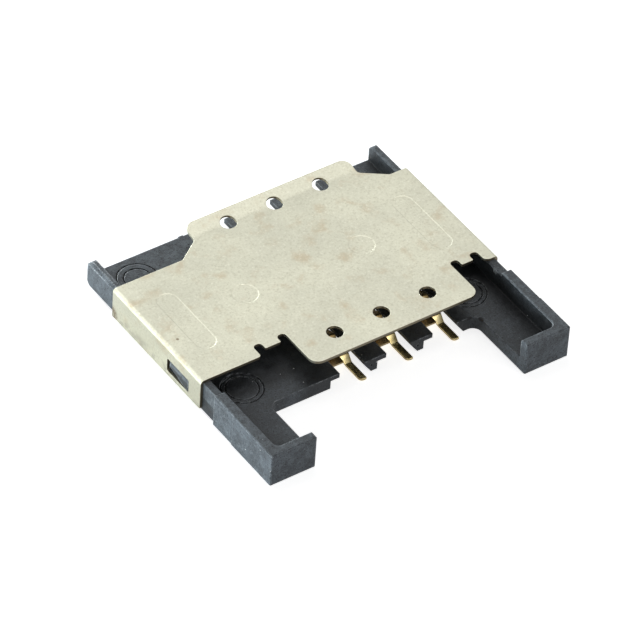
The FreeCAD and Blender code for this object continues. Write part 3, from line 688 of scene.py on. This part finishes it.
TIN_DULL = (0.560, 0.552, 0.446, 1)
TIN_BRIGHT = (0.606, 0.595, 0.478, 1)
STAIN = (0.50, 0.44, 0.32, 1)
ROLLED_DARK = (0.47, 0.455, 0.355, 1)
ROLLED_PALE = (0.74, 0.73, 0.62, 1)
WORN_TIN = (0.36, 0.33, 0.25, 1)
CUT_FACE = (0.15, 0.12, 0.08, 1)
SMUDGE = (0.36, 0.35, 0.29, 1)
RUST = (0.16, 0.11, 0.06, 1)
RUSTY_CORNER = ((-8.1, 4.95, 0.3), 0.55)
RUSTY_PIT = ((-7.45, 0.655, 1.75), 0.09)


def tinned_steel():
    material, tree, shader = new_material("tinned_steel")
    clouds = grain(tree, spot=3.6, seed=2.0)
    stains = grain(tree, spot=1.0, seed=23.0, detail=6.0)
    rolled = grain(tree, spot=0.10, seed=13.0, detail=4.0)
    colour = blend(tree, between(tree, clouds, 0.3, 0.7), TIN_DULL, TIN_BRIGHT)
    colour = coats(tree, colour,
                   (stains, 0.52, 0.74, 0.95, STAIN),
                   (rolled, 0.50, 0.70, 0.8, ROLLED_DARK),
                   (rolled, 0.46, 0.28, 0.5, ROLLED_PALE))
    worn = both(tree, edge_wear_and_highlight(tree, radius=0.03, spot=0.25), 0.45)
    colour = blend(tree, worn, colour, WORN_TIN)
    colour = coats(tree, colour, (facing(tree, "Y"), 0.45, 0.8, 0.85, CUT_FACE))
    low_side = both(tree, between(tree, facing(tree, "X"), 0.8, 0.95),
                    between(tree, along(tree, "Z"), 0.80, 0.35))
    smears = grain(tree, spot=0.7, seed=31.0, detail=6.0)
    smudges = between(tree, smears, 0.46, 0.60, end=0.6)
    colour = blend(tree, both(tree, low_side, smudges), colour, SMUDGE)
    corner = both(tree, near_place(tree, *RUSTY_CORNER), between(tree, rolled, 0.35, 0.5))
    pit = near_place(tree, *RUSTY_PIT)
    colour = blend(tree, both(tree, either(tree, corner, pit), 0.75), colour, RUST)
    tree.links.new(colour, shader.inputs["Base Color"])
    shader.inputs["Metallic"].default_value = 1.0
    slope = facing(tree, "Z")
    dullness = between(tree, clouds, 0.3, 0.7, start=0.38, end=0.44)
    bent = both(tree, between(tree, slope, 0.90, 0.80),
                between(tree, slope, 0.02, 0.20, end=0.30))
    tree.links.new(maths(tree, "ADD", dullness, bent), shader.inputs["Roughness"])
    height = maths(tree, "ADD", rolled, maths(tree, "MULTIPLY", stains, 4.0))
    bump(tree, shader, height, distance=0.004)
    return material


cover.data.materials.append(tinned_steel())

# Studio: a sheet of white paper in a white tent. A wide box stands low behind and a long
# narrow one low on the left. Small ones hang over the back, the lip and the pressed places,
# and a soft one stands in front. A long lens looks down on the socket's front left corner.
PAPER_SIZE = 3.0
PAPER_GAP = 0.02
PAPER_WHITE = (0.9, 0.9, 0.9, 1)
PAPER_GLOW, PAPER_MIRRORED = 0.79, 0.45
TENT_ON_PIECES, TENT_SEEN = 0.06, 1.0
WHITE = (1, 1, 1, 1)
COOL = (0.90, 0.98, 1.0)
COOLER = (0.88, 0.97, 1.0)

bpy.ops.mesh.primitive_plane_add(size=PAPER_SIZE, location=(0, 0, -PAPER_GAP * MM))
paper = bpy.context.object
paper.name = "paper"
material, tree, shader = new_material("white_paper")
shader.inputs["Base Color"].default_value = PAPER_WHITE
shader.inputs["Roughness"].default_value = 0.9
shader.inputs["Specular IOR Level"].default_value = 0.1
rays = add(tree, "ShaderNodeLightPath")
seen = either(tree, both(tree, rays.outputs["Is Camera Ray"], PAPER_GLOW),
              both(tree, rays.outputs["Is Glossy Ray"], PAPER_MIRRORED))
shader.inputs["Emission Color"].default_value = WHITE
tree.links.new(seen, shader.inputs["Emission Strength"])
# The paper can't be seen from below, so that a view from there shows the socket's underside.
geometry = add(tree, "ShaderNodeNewGeometry")
sheet = add(tree, "ShaderNodeMixShader")
tree.links.new(geometry.outputs["Backfacing"], sheet.inputs["Fac"])
tree.links.new(shader.outputs["BSDF"], sheet.inputs[1])
tree.links.new(add(tree, "ShaderNodeBsdfTransparent").outputs["BSDF"], sheet.inputs[2])
tree.links.new(sheet.outputs["Shader"], tree.nodes["Material Output"].inputs["Surface"])
paper.data.materials.append(material)

world = bpy.data.worlds.new("white_tent")
bpy.context.scene.world = world
world.use_nodes = True
tree = world.node_tree
rays = add(tree, "ShaderNodeLightPath")
seen = either(tree, rays.outputs["Is Camera Ray"], rays.outputs["Is Glossy Ray"])
seen = either(tree, seen, rays.outputs["Is Transmission Ray"])
tree.nodes["Background"].inputs["Color"].default_value = WHITE
tree.links.new(between(tree, seen, 0.0, 1.0, TENT_ON_PIECES, TENT_SEEN),
               tree.nodes["Background"].inputs["Strength"])


def direction(azimuth, elevation):
    """Points away from the socket, with azimuth 0 to the front and 90 to the right."""
    turn, rise = math.radians(azimuth), math.radians(elevation)
    return Vector((math.sin(turn) * math.cos(rise), -math.cos(turn) * math.cos(rise),
                   math.sin(rise)))


def soft_box(name, azimuth, elevation, distance, size, brightness, tint=(1, 1, 1)):
    """A lamp of size (width, height) in metres that looks at the socket."""
    way = direction(azimuth, elevation)
    data = bpy.data.lights.new(name, "AREA")
    data.shape = "RECTANGLE"
    data.size, data.size_y = size
    data.energy = brightness * math.pi * size[0] * size[1]
    data.color = tint
    item = bpy.data.objects.new(name, data)
    bpy.context.scene.collection.objects.link(item)
    item.location = way * distance
    item.rotation_mode = "QUATERNION"
    item.rotation_quaternion = (-way).to_track_quat("-Z", "Y")


soft_box("low_back_box", azimuth=-176, elevation=14, distance=0.16, size=(0.12, 0.04),
         brightness=19.0, tint=COOL)
soft_box("low_left_box", azimuth=-97, elevation=1.9, distance=0.16, size=(0.16, 0.008),
         brightness=82.0, tint=COOLER)
soft_box("back_top_box", azimuth=-160, elevation=50, distance=0.20, size=(0.06, 0.06),
         brightness=1.2)
soft_box("front_box", azimuth=20, elevation=22, distance=0.16, size=(0.12, 0.07),
         brightness=2.3)
soft_box("lip_box", azimuth=100, elevation=62, distance=0.20, size=(0.05, 0.05),
         brightness=1.4)
soft_box("top_box", azimuth=145, elevation=70, distance=0.20, size=(0.04, 0.04),
         brightness=3.6)

# The camera's place and lens were fitted to about thirty points of the photograph.
CAMERA_TURN, CAMERA_RISE, CAMERA_ROLL = -37.1963, 42.4306, math.radians(4.0817)
CAMERA_DISTANCE = 250
CAMERA_RIGHT, CAMERA_UP = -0.30084, 0.13656
AIM = Vector((0, -0.385, 0))
back = direction(CAMERA_TURN, CAMERA_RISE)
right = Vector((math.cos(math.radians(CAMERA_TURN)), math.sin(math.radians(CAMERA_TURN)), 0))
up = back.cross(right)
tilted_right = math.cos(CAMERA_ROLL) * right + math.sin(CAMERA_ROLL) * up
tilted_up = -math.sin(CAMERA_ROLL) * right + math.cos(CAMERA_ROLL) * up
lens = bpy.data.cameras.new("camera")
lens.sensor_width = 36
lens.lens = 311.44
lens.clip_start = 0.01
lens.clip_end = 10
camera = bpy.data.objects.new("camera", lens)
bpy.context.scene.collection.objects.link(camera)
place = (tilted_right * CAMERA_RIGHT + tilted_up * CAMERA_UP + back * CAMERA_DISTANCE + AIM) * MM
camera.matrix_world = Matrix.Translation(place) @ Matrix(
    (tilted_right, tilted_up, back)).transposed().to_4x4()
bpy.context.scene.camera = camera
bpy.context.scene.view_settings.view_transform = "Standard"
